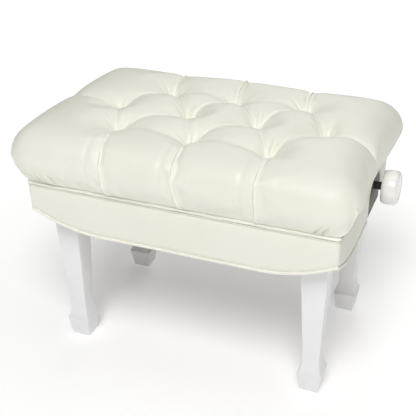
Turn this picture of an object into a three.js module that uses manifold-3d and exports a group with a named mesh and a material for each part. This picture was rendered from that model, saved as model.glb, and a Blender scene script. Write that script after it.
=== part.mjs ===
// Height-adjustable piano bench: a tufted seat with an upholstered skirt rides on a scissor lift inside a
// wooden base with four spade-foot legs. A lengthwise screw with a knob at each end drives the lift.
// Millimetres, +Z up, X along the bench, Y from front to back, origin on the floor under the middle.
// The seat is modelled at its lowest position.
import * as THREE from 'three';
import { mergeVertices } from 'three/addons/utils/BufferGeometryUtils.js';
import Module from 'manifold-3d';

const wasm = await Module();
wasm.setup();

// ---------- driving dimensions ----------
const GAP = 0.3;                 // clearance between touching pieces

const SKIRT_HALF_X = 280;        // outer faces of the skirt
const SKIRT_HALF_Y = 186.5;
const SKIRT_THICK = 3.7;
const SKIRT_TOP = 352;
const SKIRT_LOW = 270;           // lower edge along the middle of each side
const SKIRT_CORNER = 304;        // lower edge at the corners
const SCALLOP_START_X = 150;     // where the lower edge starts to rise
const SCALLOP_START_Y = 60;

const LEG_X = 235.5;             // leg centres
const LEG_Y = 131.9;
const LEG_TOP = 322;
const FOOT_BOTTOM_HALF = 17.2;   // half widths of the square leg section
const FOOT_WIDE_HALF = 23;
const FOOT_WIDE_Z = 42.8;
const ANKLE_HALF = 15.7;
const ANKLE_Z = 78;
const LEG_TOP_HALF = 25.6;
const GLIDE_HEIGHT = 3;
const GLIDE_RADIUS = 11;

const RAIL_TOP = 338;            // wooden base frame
const RAIL_LIFT = 2;             // its lower edge follows the skirt's, this much higher
const END_RAIL_INNER = 261.5;
const END_RAIL_OUTER = 275.5;
const SIDE_RAIL_INNER = 158;
const SIDE_RAIL_OUTER = 180;
const END_RAIL_HALF = 177;       // half length of an end rail, short of the piping at the corners

const BOARD_BOTTOM = 350;        // seat board
const BOARD_THICK = 14;
const BOARD_CORNER = 28;
const BOARD_INSET = 2.2;         // from the inner faces of the skirt
const CUSHION_HALF_X = 313;      // widest outline of the cushion
const CUSHION_HALF_Y = 207.5;
const CUSHION_WIDE_Z = 401;      // height of the widest outline
const CUSHION_ROUND = 54;        // rounding above and below the widest outline
const CUSHION_BOTTOM = 357.6;
const COVER_THICK = 2.5;
const WELT_RADIUS = 2.4;

const SCREW_Y = 88;              // screw axis
const SCREW_Z = 317;
const SCREW_RADIUS = 7.5;
const KNOB_INNER_X = 295.5;
const KNOB_OUTER_X = 325.5;
const KNOB_RADIUS = 32.6;
const NOTCH_HALF = 55;           // notch in each end skirt, where the screw comes out
const NOTCH_STRAIGHT_Z = 300;
const NOTCH_TOP_Z = 340;

const ARM_LENGTH = 220;          // scissor arms, pivot to pivot
const ARM_HALF_WIDTH = 10;
const ARM_THICK = 4;
const PIVOT_X = -108;            // pivots that stay put; the other ends slide
const LOWER_PIVOT_Z = 296;
const UPPER_PIVOT_Z = 336;
const OUTER_ARM_Y = 112.5;       // near face of each arm, from the middle
const INNER_ARM_Y = 106.5;
const SHAFT_RADIUS = 5;
const CENTRE_PIN_RADIUS = 3.5;
const OPEN_PIVOT_SLACK = 2.4;    // clearance where a closed linkage is opened
const MECH_RAIL_Y = 118;
const MECH_RAIL_HALF = 140;
const MECH_RAIL_THICK = 3;
const MECH_RAIL_FLANGE = 22;
const BATTEN_TOP = 282;
const BATTEN_NEAR_X = 95;
const BATTEN_FAR_X = 128;

// values that follow from the ones above
const REST_RISE = UPPER_PIVOT_Z - LOWER_PIVOT_Z;
const REST_ANGLE = Math.asin(REST_RISE / ARM_LENGTH);
const SLIDING_X = PIVOT_X + ARM_LENGTH * Math.cos(REST_ANGLE);
const SLIDE_TRAVEL = 38;
const AXIS_X = new THREE.Vector3(1, 0, 0);
const AXIS_Y = new THREE.Vector3(0, 1, 0);
const AXIS_Z = new THREE.Vector3(0, 0, 1);

// ---------- materials ----------
function paint(color, roughness, metalness) {
  return new THREE.MeshStandardMaterial({ color, roughness, metalness });
}

const ivoryLeather = paint(0xeeeee2, 0.45, 0);
const whitePaint = paint(0xe6e6e4, 0.35, 0);
const brownWood = paint(0x5b4c3e, 0.6, 0);
const plywood = paint(0xc9a97a, 0.7, 0);
const foam = paint(0xe8dca8, 0.9, 0);
const knobPlastic = paint(0xf3f0ec, 0.15, 0);
const blackSteel = paint(0x151515, 0.35, 0.8);
const zincSteel = paint(0xb9bcc0, 0.35, 0.9);
const greyPlastic = paint(0x6d6d6d, 0.6, 0);

// ---------- shape helpers ----------
// a closed three.js geometry as a manifold-3d solid
function solid(geometry) {
  const bare = geometry.clone();
  bare.deleteAttribute('normal');
  bare.deleteAttribute('uv');
  const merged = mergeVertices(bare, 1e-4);
  const mesh = new wasm.Mesh({
    numProp: 3,
    vertProperties: new Float32Array(merged.attributes.position.array),
    triVerts: new Uint32Array(merged.index.array),
  });
  return new wasm.Manifold(mesh);
}

function geometryOf(manifold) {
  const mesh = manifold.getMesh();
  const geometry = new THREE.BufferGeometry();
  geometry.setAttribute('position', new THREE.BufferAttribute(new Float32Array(mesh.vertProperties), 3));
  geometry.setIndex(new THREE.BufferAttribute(new Uint32Array(mesh.triVerts), 1));
  return geometry;
}

function cut(geometry, ...tools) {
  let result = solid(geometry);
  for (const tool of tools) result = result.subtract(solid(tool));
  return geometryOf(result);
}

// a block between two opposite corners
function block(x0, x1, y0, y1, z0, z1) {
  const geometry = new THREE.BoxGeometry(x1 - x0, y1 - y0, z1 - z0);
  geometry.translate((x0 + x1) / 2, (y0 + y1) / 2, (z0 + z1) / 2);
  return geometry;
}

// two distances from the middle, on the side that sign gives, in rising order
const spread = (sign, near, far) => (sign > 0 ? [near, far] : [-far, -near]);

const turnedTo = (x, y, z) => new THREE.Matrix4().makeBasis(x, y, z);

function straightRun(shape, depth) {
  return new THREE.ExtrudeGeometry(shape, { depth, bevelEnabled: false, curveSegments: 8 });
}

// a Y-Z outline run along X from x0 to x1
function alongX(shape, x0, x1) {
  const geometry = straightRun(shape, x1 - x0);
  geometry.applyMatrix4(turnedTo(AXIS_Y, AXIS_Z, AXIS_X));
  return geometry.translate(x0, 0, 0);
}

// an X-Z outline run along Y from y0 to y1
function alongY(shape, y0, y1) {
  const geometry = straightRun(shape, y1 - y0);
  geometry.applyMatrix4(turnedTo(AXIS_X, AXIS_Z, AXIS_Y.clone().negate()));
  return geometry.translate(0, y1, 0);
}

// an X-Y outline run up Z from z0 to z1
function alongZ(shape, z0, z1) {
  return straightRun(shape, z1 - z0).translate(0, 0, z0);
}

// a round bar between two values of one axis
function bar(radius, from, to, axis, sides = 16) {
  const geometry = new THREE.CylinderGeometry(radius, radius, to - from, sides);
  geometry.translate(0, (from + to) / 2, 0);
  if (axis === AXIS_X) geometry.rotateZ(-Math.PI / 2);
  if (axis === AXIS_Z) geometry.rotateX(Math.PI / 2);
  return geometry;
}

// a turned piece: [radius, distance along the axis] points, spun about X
function turnedAlongX(points, sides) {
  const profile = points.map(([radius, along]) => new THREE.Vector2(radius, along));
  return new THREE.LatheGeometry(profile, sides).rotateZ(-Math.PI / 2);
}

function outline(points) {
  return new THREE.Shape(points.map(([x, y]) => new THREE.Vector2(x, y)));
}

function roundHole(x, y, radius) {
  const hole = new THREE.Path();
  hole.absarc(x, y, radius, 0, Math.PI * 2, true);
  return hole;
}

function roundedRectangle(halfX, halfY, radius) {
  const shape = new THREE.Shape();
  shape.absarc(halfX - radius, halfY - radius, radius, 0, Math.PI / 2, false);
  shape.absarc(radius - halfX, halfY - radius, radius, Math.PI / 2, Math.PI, false);
  shape.absarc(radius - halfX, radius - halfY, radius, Math.PI, Math.PI * 1.5, false);
  shape.absarc(halfX - radius, radius - halfY, radius, Math.PI * 1.5, Math.PI * 2, false);
  shape.closePath();
  return shape;
}

// a tube with a round section along a list of points
function tubeThrough(points, radius, steps, sides = 6) {
  const section = new THREE.Shape();
  section.absarc(0, 0, radius, 0, Math.PI * 2, false);
  const path = new THREE.CatmullRomCurve3(points, false, 'centripetal');
  return new THREE.ExtrudeGeometry(section, { steps, extrudePath: path, curveSegments: sides / 2 });
}

const bench = new THREE.Group();

function add(name, geometry, material, x = 0, y = 0, z = 0) {
  const mesh = new THREE.Mesh(geometry, material);
  mesh.name = name;
  mesh.position.set(x, y, z);
  bench.add(mesh);
  return mesh;
}

const CORNERS = [['front_left', -1, -1], ['front_right', 1, -1], ['back_left', -1, 1], ['back_right', 1, 1]];
const ENDS = [['left', -1], ['right', 1]];
const SIDES = [['front', -1], ['back', 1]];

// ---------- the curved lower edge of the skirt and the base frame ----------
// height of the lower edge at a distance along a side
function lowerEdge(along, start, end) {
  const past = Math.max(0, Math.abs(along) - start) / (end - start);
  return SKIRT_LOW + (SKIRT_CORNER - SKIRT_LOW) * past * past;
}

const edgeOnX = (x) => lowerEdge(x, SCALLOP_START_X, SKIRT_HALF_X);
const edgeOnY = (y) => lowerEdge(y, SCALLOP_START_Y, SKIRT_HALF_Y);

// points of the lower edge from one place to another
function edgePoints(edge, from, to, count) {
  return Array.from({ length: count + 1 }, (_, i) => {
    const along = from + ((to - from) * i) / count;
    return [along, edge(along)];
  });
}

// a rail's outline, with the lower edge of the skirt set a little higher
function railOutline(edge, half, count) {
  const lower = edgePoints(edge, -half, half, count).map(([along, z]) => [along, z + RAIL_LIFT]);
  return outline([...lower, [half, RAIL_TOP], [-half, RAIL_TOP]]);
}


// ---------- legs, glides and their fastening ----------
const BRACE_SUM = 312;           // outer face of the diagonal brace lies where |x| + |y| is this
const BRACE_THICK = 3;
const BRACE_BOTTOM = 276;
const BRACE_TOP = 306;
const BOLT_Z = 291;
const BOLT_RADIUS = 3;
const BOLT_INTO_LEG = 24;

// four-sided turning: each half width becomes the corner radius of the square section
function squareTurning(points) {
  const profile = points.map(([half, z]) => new THREE.Vector2(half * Math.SQRT2, z));
  return new THREE.LatheGeometry(profile, 4, Math.PI / 4).rotateX(Math.PI / 2);
}

function legGeometry() {
  const cove = new THREE.CubicBezierCurve(
    new THREE.Vector2(FOOT_WIDE_HALF, FOOT_WIDE_Z),
    new THREE.Vector2(18, 50),
    new THREE.Vector2(15.6, 62),
    new THREE.Vector2(ANKLE_HALF, ANKLE_Z),
  );
  const flare = cove.getPoints(8).map((p) => [p.x, p.y]);
  const bottom = GLIDE_HEIGHT + GAP;
  return squareTurning([
    [0, bottom], [FOOT_BOTTOM_HALF, bottom], ...flare, [LEG_TOP_HALF, LEG_TOP], [0, LEG_TOP],
  ]);
}

// points a Z-pointing piece outwards along the diagonal of the corner (signX, signY)
function diagonal(geometry, signX, signY) {
  geometry.rotateY(Math.PI / 2);
  return geometry.rotateZ(Math.atan2(signY, signX));
}

function braceShape(signX, signY) {
  const out = BRACE_SUM;
  const inn = BRACE_SUM - BRACE_THICK * Math.SQRT2;
  const endFace = END_RAIL_INNER - GAP;
  const sideFace = SIDE_RAIL_INNER - GAP;
  const points = [
    [endFace, 30], [endFace, out - endFace], [out - sideFace, sideFace], [130, sideFace],
    [130, sideFace - BRACE_THICK], [inn - sideFace + BRACE_THICK, sideFace - BRACE_THICK],
    [endFace - BRACE_THICK, inn - endFace + BRACE_THICK], [endFace - BRACE_THICK, 30],
  ];
  return outline(points.map(([x, y]) => [x * signX, y * signY]));
}

for (const [corner, signX, signY] of CORNERS) {
  const braceOffset = (BRACE_SUM / 2 - (LEG_X + LEG_Y) / 2) * Math.SQRT2;
  const boltHole = bar(BOLT_RADIUS + GAP, braceOffset - 20, -8, AXIS_Z);
  const boltMiddleX = signX * (BRACE_SUM / 2 + (LEG_X - LEG_Y) / 2);
  const boltMiddleY = signY * (BRACE_SUM / 2 - (LEG_X - LEG_Y) / 2);

  const leg = cut(legGeometry(), diagonal(boltHole, signX, signY).translate(0, 0, BOLT_Z));
  add(`leg_${corner}`, leg, whitePaint, signX * LEG_X, signY * LEG_Y, 0);
  const glide = bar(GLIDE_RADIUS, 0, GLIDE_HEIGHT, AXIS_Z, 20);
  add(`glide_${corner}`, glide, greyPlastic, signX * LEG_X, signY * LEG_Y, 0);

  const plateHole = diagonal(bar(BOLT_RADIUS + GAP, -10, 10, AXIS_Z), signX, signY);
  plateHole.translate(boltMiddleX, boltMiddleY, BOLT_Z);
  const plate = cut(alongZ(braceShape(signX, signY), BRACE_BOTTOM, BRACE_TOP), plateHole);
  add(`corner_brace_${corner}`, plate, zincSteel);

  const nutFrom = -BRACE_THICK - GAP;
  const boltProfile = [
    [0, BOLT_INTO_LEG], [BOLT_RADIUS, BOLT_INTO_LEG], [BOLT_RADIUS, nutFrom], [6.5, nutFrom],
    [6.5, nutFrom - 5], [BOLT_RADIUS, nutFrom - 5], [BOLT_RADIUS, nutFrom - 11], [0, nutFrom - 11],
  ].reverse();
  const bolt = new THREE.LatheGeometry(boltProfile.map(([r, z]) => new THREE.Vector2(r, z)), 12);
  bolt.rotateX(Math.PI / 2);
  add(`leg_bolt_${corner}`, diagonal(bolt, signX, signY), zincSteel, boltMiddleX, boltMiddleY, BOLT_Z);
}

// ---------- wooden base frame ----------
const BUSH_OUTER = 10.5;

for (const [side, sign] of SIDES) {
  const faces = spread(sign, SIDE_RAIL_INNER, SIDE_RAIL_OUTER);
  add(`base_rail_${side}`, alongY(railOutline(edgeOnX, END_RAIL_INNER - GAP, 20), ...faces), whitePaint);
}

// outline of an arch-topped plate or notch round the screw
function archPoints(half, bottom, straight, top) {
  const arch = new THREE.EllipseCurve(SCREW_Y, straight, half, top - straight, 0, Math.PI, false);
  return [[SCREW_Y - half, bottom], [SCREW_Y + half, bottom], ...arch.getPoints(16).map((p) => [p.x, p.y])];
}

for (const [end, sign] of ENDS) {
  const railShape = railOutline(edgeOnY, END_RAIL_HALF, 20);
  railShape.holes.push(roundHole(SCREW_Y, SCREW_Z, BUSH_OUTER + GAP));
  add(`base_rail_${end}`, alongX(railShape, ...spread(sign, END_RAIL_INNER, END_RAIL_OUTER)), whitePaint);

  const plateInner = END_RAIL_OUTER + GAP;
  const plateOuter = SKIRT_HALF_X - 0.7;
  const plateShape = outline(archPoints(NOTCH_HALF - 3, SKIRT_LOW - 2, NOTCH_STRAIGHT_Z, NOTCH_TOP_Z - 4));
  plateShape.holes.push(roundHole(SCREW_Y, SCREW_Z, BUSH_OUTER + GAP));
  add(`bearing_plate_${end}`, alongX(plateShape, ...spread(sign, plateInner, plateOuter)), brownWood);

  const bushShape = new THREE.Shape();
  bushShape.absarc(0, 0, BUSH_OUTER, 0, Math.PI * 2, false);
  bushShape.holes.push(roundHole(0, 0, SCREW_RADIUS + GAP));
  const bushX = spread(sign, END_RAIL_INNER, plateOuter);
  add(`screw_bush_${end}`, alongX(bushShape, ...bushX), greyPlastic, 0, SCREW_Y, SCREW_Z);

  const battenX = spread(sign, BATTEN_NEAR_X, BATTEN_FAR_X);
  const battenY = SIDE_RAIL_INNER - GAP;
  add(`batten_${end}`, block(...battenX, -battenY, battenY, SKIRT_LOW + RAIL_LIFT, BATTEN_TOP), plywood);
}

// ---------- mechanism rails ----------
// angle-iron rail whose upright flange starts at z0 and ends at z1, with the foot on the side of footZ
function mechRail(sign, z0, z1, footZ, slotZ) {
  const near = sign * MECH_RAIL_Y;
  const thick = sign * MECH_RAIL_THICK;
  const wide = sign * MECH_RAIL_FLANGE;
  const inward = footZ === z0 ? MECH_RAIL_THICK : -MECH_RAIL_THICK;
  const tip = footZ === z0 ? z1 : z0;
  const angle = outline([
    [near, footZ], [near + wide, footZ], [near + wide, footZ + inward],
    [near + thick, footZ + inward], [near + thick, tip], [near, tip],
  ]);
  const rail = alongX(angle, -MECH_RAIL_HALF, MECH_RAIL_HALF);
  const slotHalf = SHAFT_RADIUS + OPEN_PIVOT_SLACK;
  const low = SLIDING_X - SLIDE_TRAVEL;
  const slot = new THREE.Shape();
  slot.absarc(SLIDING_X, slotZ, slotHalf, -Math.PI / 2, Math.PI / 2, false);
  slot.absarc(low, slotZ, slotHalf, Math.PI / 2, Math.PI * 1.5, false);
  slot.closePath();
  const y0 = Math.min(near, near + thick) - 1;
  const y1 = Math.max(near, near + thick) + 1;
  const pivotHole = bar(SHAFT_RADIUS + GAP, y0, y1, AXIS_Y).translate(PIVOT_X, 0, slotZ);
  return cut(rail, alongY(slot, y0, y1), pivotHole);
}

for (const [side, sign] of SIDES) {
  const baseFoot = BATTEN_TOP + GAP;
  const seatFoot = BOARD_BOTTOM - GAP;
  add(`base_mech_rail_${side}`, mechRail(sign, baseFoot, 311, baseFoot, LOWER_PIVOT_Z), blackSteel);
  add(`seat_mech_rail_${side}`, mechRail(sign, 324, seatFoot, seatFoot, UPPER_PIVOT_Z), blackSteel);
}

// ---------- scissor arms and their shafts ----------
function armShape(centreHole) {
  const shape = new THREE.Shape();
  shape.absarc(ARM_LENGTH, 0, ARM_HALF_WIDTH, -Math.PI / 2, Math.PI / 2, false);
  shape.absarc(0, 0, ARM_HALF_WIDTH, Math.PI / 2, Math.PI * 1.5, false);
  shape.closePath();
  shape.holes.push(roundHole(0, 0, SHAFT_RADIUS + GAP));
  shape.holes.push(roundHole(ARM_LENGTH, 0, SHAFT_RADIUS + GAP));
  shape.holes.push(roundHole(ARM_LENGTH / 2, 0, centreHole));
  return shape;
}

function crossShaft(name, x, z) {
  const half = MECH_RAIL_Y + MECH_RAIL_THICK + 3;
  add(name, bar(SHAFT_RADIUS, -half, half, AXIS_Y), zincSteel, x, 0, z);
}

for (const [side, sign] of SIDES) {
  const outerY = spread(sign, OUTER_ARM_Y, OUTER_ARM_Y + ARM_THICK);
  const innerY = spread(sign, INNER_ARM_Y, INNER_ARM_Y + ARM_THICK);

  const armA = alongY(armShape(CENTRE_PIN_RADIUS + GAP), ...outerY);
  add(`arm_a_${side}`, armA, blackSteel, PIVOT_X, 0, LOWER_PIVOT_Z).rotation.y = -REST_ANGLE;

  const armB = alongY(armShape(CENTRE_PIN_RADIUS + OPEN_PIVOT_SLACK), ...innerY);
  add(`arm_b_${side}`, armB, blackSteel, PIVOT_X, 0, UPPER_PIVOT_Z).rotation.y = REST_ANGLE;

  const pinY = spread(sign, INNER_ARM_Y - 1.5, OUTER_ARM_Y + ARM_THICK);
  const centreX = PIVOT_X + (ARM_LENGTH / 2) * Math.cos(REST_ANGLE);
  const centreZ = (LOWER_PIVOT_Z + UPPER_PIVOT_Z) / 2;
  add(`centre_pin_${side}`, bar(CENTRE_PIN_RADIUS, ...pinY, AXIS_Y), zincSteel, centreX, 0, centreZ);
}

crossShaft('shaft_a_lower', PIVOT_X, LOWER_PIVOT_Z);
crossShaft('shaft_a_upper', SLIDING_X, UPPER_PIVOT_Z);
crossShaft('shaft_b_upper', PIVOT_X, UPPER_PIVOT_Z);
crossShaft('shaft_b_lower', SLIDING_X, LOWER_PIVOT_Z);

// ---------- drive nut, screw, collars and knobs ----------
const NUT_HALF = 12;
const nutBlock = cut(
  block(-NUT_HALF, NUT_HALF, SCREW_Y - NUT_HALF, SCREW_Y + NUT_HALF, LOWER_PIVOT_Z - 9, UPPER_PIVOT_Z - 5.6),
  bar(SHAFT_RADIUS + GAP, SCREW_Y - 15, SCREW_Y + 15, AXIS_Y).translate(0, 0, LOWER_PIVOT_Z),
  bar(SCREW_RADIUS + OPEN_PIVOT_SLACK, -15, 15, AXIS_X, 20).translate(0, SCREW_Y, SCREW_Z),
);
add('drive_nut', nutBlock, zincSteel, SLIDING_X, 0, 0);

const KNOB_BORE_END = 310;
const COLLAR_RADIUS = 12;
const COLLAR_NEAR_X = 250;
const COLLAR_FAR_X = END_RAIL_INNER - 1.5;
const screwHalf = KNOB_BORE_END - GAP;
add('drive_screw', bar(SCREW_RADIUS, -screwHalf, screwHalf, AXIS_X, 20), blackSteel, 0, SCREW_Y, SCREW_Z);

const knobProfile = [
  [0, KNOB_BORE_END], [SCREW_RADIUS + GAP, KNOB_BORE_END], [SCREW_RADIUS + GAP, KNOB_INNER_X],
  [26.5, KNOB_INNER_X], [29.6, KNOB_INNER_X + 1.6], [31.4, KNOB_INNER_X + 5],
  [KNOB_RADIUS, KNOB_INNER_X + 12], [KNOB_RADIUS, KNOB_INNER_X + 19], [31.4, KNOB_OUTER_X - 6.5],
  [29.8, KNOB_OUTER_X - 2.2], [28.4, KNOB_OUTER_X - 0.6], [26.6, KNOB_OUTER_X], [0, KNOB_OUTER_X],
];

for (const [end, sign] of ENDS) {
  const knob = turnedAlongX(knobProfile, 28);
  if (sign < 0) knob.rotateZ(Math.PI);
  add(`knob_${end}`, knob, knobPlastic, 0, SCREW_Y, SCREW_Z);

  const collarShape = new THREE.Shape();
  collarShape.absarc(0, 0, COLLAR_RADIUS, 0, Math.PI * 2, false);
  collarShape.holes.push(roundHole(0, 0, SCREW_RADIUS + GAP));
  const collarX = spread(sign, COLLAR_NEAR_X, COLLAR_FAR_X);
  add(`thrust_collar_${end}`, alongX(collarShape, ...collarX), zincSteel, 0, SCREW_Y, SCREW_Z);
}

// ---------- seat board, foam and cover ----------
const boardEdge = SKIRT_THICK + BOARD_INSET;
const boardShape = roundedRectangle(SKIRT_HALF_X - boardEdge, SKIRT_HALF_Y - boardEdge, BOARD_CORNER);
add('seat_board', alongZ(boardShape, BOARD_BOTTOM, BOARD_BOTTOM + BOARD_THICK), plywood);

// pillow with the cushion's outline, shrunk by inset all round, cut flat at bottom
function pillow(inset, bottom) {
  const round = CUSHION_ROUND - inset;
  const core = roundedRectangle(CUSHION_HALF_X - CUSHION_ROUND, CUSHION_HALF_Y - CUSHION_ROUND, 6);
  const shape = new THREE.ExtrudeGeometry(core, {
    depth: 1, bevelEnabled: true, bevelThickness: round, bevelSize: round, bevelSegments: 6, curveSegments: 5,
  });
  shape.translate(0, 0, CUSHION_WIDE_Z);
  const under = block(-400, 400, -300, 300, CUSHION_WIDE_Z - 100, bottom);
  return cut(shape, under);
}

add('foam_core', pillow(COVER_THICK + 0.5, BOARD_BOTTOM + BOARD_THICK + GAP), foam);
add('leather_cover', cut(pillow(0, CUSHION_BOTTOM), pillow(COVER_THICK, CUSHION_BOTTOM - 5)), ivoryLeather);

// ---------- skirt ----------
for (const [side, sign] of SIDES) {
  const panel = outline([
    ...edgePoints(edgeOnX, -SKIRT_HALF_X, SKIRT_HALF_X, 40),
    [SKIRT_HALF_X, SKIRT_TOP], [-SKIRT_HALF_X, SKIRT_TOP],
  ]);
  const faces = spread(sign, SKIRT_HALF_Y - SKIRT_THICK, SKIRT_HALF_Y);
  add(`skirt_${side}`, alongY(panel, ...faces), ivoryLeather);
}

// each end skirt is two boards that meet over the notch
function endSkirtShape(sign) {
  const far = sign * (SKIRT_HALF_Y - SKIRT_THICK - GAP);
  const notchEdge = SCREW_Y + sign * NOTCH_HALF;
  const middle = SCREW_Y + sign * (GAP / 2);
  const archHeight = NOTCH_TOP_Z - NOTCH_STRAIGHT_Z;
  const quarter = Array.from({ length: 9 }, (_, i) => {
    const turn = (i / 8) * (Math.PI / 2);
    const y = notchEdge + (middle - notchEdge) * (1 - Math.cos(turn));
    return [y, NOTCH_STRAIGHT_Z + archHeight * Math.sin(turn)];
  });
  return outline([
    [far, SKIRT_TOP], ...edgePoints(edgeOnY, far, notchEdge, 14), ...quarter, [middle, SKIRT_TOP],
  ]);
}

for (const [end, endSign] of ENDS) {
  const faces = spread(endSign, SKIRT_HALF_X - SKIRT_THICK, SKIRT_HALF_X);
  add(`skirt_${end}_front`, alongX(endSkirtShape(-1), ...faces), ivoryLeather);
  add(`skirt_${end}_back`, alongX(endSkirtShape(1), ...faces), ivoryLeather);
}

// ---------- piping ----------
const weltInset = 0.5;

function topWelt() {
  const halfX = SKIRT_HALF_X - weltInset;
  const halfY = SKIRT_HALF_Y - weltInset;
  const radius = 7;
  const ring = roundedRectangle(halfX, halfY, radius).getPoints(5);
  const start = ring.findIndex((p) => p.x < 0 && p.y > 0);
  const turned = [...ring.slice(start), ...ring.slice(0, start)];
  const z = SKIRT_TOP + GAP + WELT_RADIUS;
  const points = turned.map((p) => new THREE.Vector3(p.x, p.y, z));
  points.unshift(new THREE.Vector3(-2 * WELT_RADIUS, halfY, z));
  points.push(new THREE.Vector3(2 * WELT_RADIUS, halfY, z));
  return tubeThrough(points.filter((p, i) => i === 0 || p.distanceTo(points[i - 1]) > 0.5), WELT_RADIUS, 70);
}

// runs under the lower edge of one long side and round both corners to the notches
function bottomWelt(sign) {
  const halfX = SKIRT_HALF_X - weltInset - 1;
  const halfY = SKIRT_HALF_Y - weltInset - 1;
  const drop = WELT_RADIUS + 1.9;
  const ease = 6;
  const bend = ease * (1 - Math.SQRT1_2);
  const notchEdge = SCREW_Y + sign * (NOTCH_HALF + 1);
  const endRun = edgePoints(edgeOnY, notchEdge, sign * (halfY - ease), 12);
  const sideRun = edgePoints(edgeOnX, halfX - ease, ease - halfX, 36);
  const bendZ = SKIRT_CORNER - drop;
  const points = [
    ...endRun.map(([y, z]) => new THREE.Vector3(halfX, y, z - drop)),
    new THREE.Vector3(halfX - bend, sign * (halfY - bend), bendZ),
    ...sideRun.map(([x, z]) => new THREE.Vector3(x, sign * halfY, z - drop)),
    new THREE.Vector3(bend - halfX, sign * (halfY - bend), bendZ),
    ...endRun.reverse().map(([y, z]) => new THREE.Vector3(-halfX, y, z - drop)),
  ];
  return tubeThrough(points, WELT_RADIUS, 84);
}

add('top_welt', topWelt(), ivoryLeather);
add('bottom_welt_front', bottomWelt(-1), ivoryLeather);
add('bottom_welt_back', bottomWelt(1), ivoryLeather);

export default bench;
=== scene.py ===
import math

import bmesh
import bpy
import numpy as np
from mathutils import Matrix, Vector
from mathutils.bvhtree import BVHTree


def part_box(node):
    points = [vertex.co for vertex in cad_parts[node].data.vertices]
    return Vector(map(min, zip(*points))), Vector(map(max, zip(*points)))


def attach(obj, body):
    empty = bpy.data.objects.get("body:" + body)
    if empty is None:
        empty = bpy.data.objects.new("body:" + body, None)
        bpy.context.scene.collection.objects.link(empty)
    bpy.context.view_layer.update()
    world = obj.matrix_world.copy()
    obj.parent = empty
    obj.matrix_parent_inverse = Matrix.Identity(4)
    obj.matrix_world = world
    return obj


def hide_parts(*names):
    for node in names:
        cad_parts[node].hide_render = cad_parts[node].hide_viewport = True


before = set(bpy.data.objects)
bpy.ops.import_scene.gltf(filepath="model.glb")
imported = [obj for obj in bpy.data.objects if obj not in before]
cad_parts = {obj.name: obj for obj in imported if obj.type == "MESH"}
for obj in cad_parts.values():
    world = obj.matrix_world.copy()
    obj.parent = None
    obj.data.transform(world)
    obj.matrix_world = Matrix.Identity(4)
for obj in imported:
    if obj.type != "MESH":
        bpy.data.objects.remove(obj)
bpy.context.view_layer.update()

MM = 0.001
rng = np.random.default_rng(7)

# ---------- places taken from the frame ----------
cover_low, cover_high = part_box("leather_cover")
skirt_low, skirt_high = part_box("skirt_front")
skirt_back_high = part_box("skirt_back")[1]
screw_low, screw_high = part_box("drive_screw")
knob_low, knob_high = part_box("knob_right")
welt_low, welt_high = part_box("top_welt")

CUSHION_X = cover_high.x                      # half sizes of the cushion at its widest
CUSHION_Y = cover_high.y - 3 * MM             # the pressure swells the long sides by the rest
CUSHION_TOP = cover_high.z + 1 * MM
CUSHION_BOTTOM = cover_low.z
ROUND = 54 * MM                               # rounding from the widest outline to the top
WIDE_Z = CUSHION_TOP - ROUND
CUSHION_SHIFT = -4 * MM                       # the padding leans a little to the left
WAIST = 11 * MM                               # the right end is pulled in by its seam
WAIST_Y = -25 * MM
WAIST_HALF = 100 * MM
SKIRT_X = skirt_high.x                        # half sizes of the skirt's outer faces
SKIRT_Y = skirt_back_high.y
SKIRT_TOP = skirt_high.z
SKIRT_LOW = skirt_low.z
SKIRT_THICK = skirt_high.y - skirt_low.y
SCREW_Y = (screw_low.y + screw_high.y) / 2
SCREW_Z = (screw_low.z + screw_high.z) / 2
SCREW_RADIUS = (screw_high.z - screw_low.z) / 2
WELT_RADIUS = (welt_high.z - welt_low.z) / 2 + 0.5 * MM   # with the leather pulled round the cord


# ---------- meshes ----------
def mesh_object(name, points, faces):
    mesh = bpy.data.meshes.new(name)
    mesh.from_pydata([tuple(p) for p in points], [], faces)
    mesh.validate()
    mesh.update()
    mesh.shade_smooth()
    obj = bpy.data.objects.new(name, mesh)
    bpy.context.scene.collection.objects.link(obj)
    return obj


def piece(obj, body, material, slot, *nodes):
    """Gives a finished mesh its body and material, and hides the CAD nodes that it stands for. The slot is
    not used.
    """
    obj.data.materials.clear()
    obj.data.materials.append(material)
    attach(obj, body)
    if nodes:
        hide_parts(*nodes)
    return obj


def applied(obj):
    """Replaces the object's mesh by the result of its modifiers."""
    graph = bpy.context.evaluated_depsgraph_get()
    evaluated = obj.evaluated_get(graph)
    mesh = bpy.data.meshes.new_from_object(evaluated, preserve_all_data_layers=True, depsgraph=graph)
    obj.modifiers.clear()
    obj.data = mesh


def vectors(items, field):
    """The named vector of every item, as the rows of an array."""
    flat = np.empty(len(items) * 3, np.float32)
    items.foreach_get(field, flat)
    return flat.reshape(-1, 3).astype(float)


def set_points(mesh, points):
    mesh.vertices.foreach_set("co", points.astype(np.float32).ravel())
    mesh.update()


def ring_faces(rings, count, closed_rings=False):
    """Quads between neighbouring rings of count points each, every ring closed on itself."""
    faces = []
    for i in range(rings if closed_rings else rings - 1):
        a, b = i * count, ((i + 1) % rings) * count
        faces += [(a + j, a + (j + 1) % count, b + (j + 1) % count, b + j) for j in range(count)]
    return faces


def capped_faces(rings, count):
    """The quads between open rings of count points each, and a flat face at either end."""
    last = (rings - 1) * count
    return ring_faces(rings, count) + [tuple(range(count))[::-1], tuple(range(last, last + count))]


def smoothstep(t):
    t = np.clip(t, 0, 1)
    return t * t * (3 - 2 * t)


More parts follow.
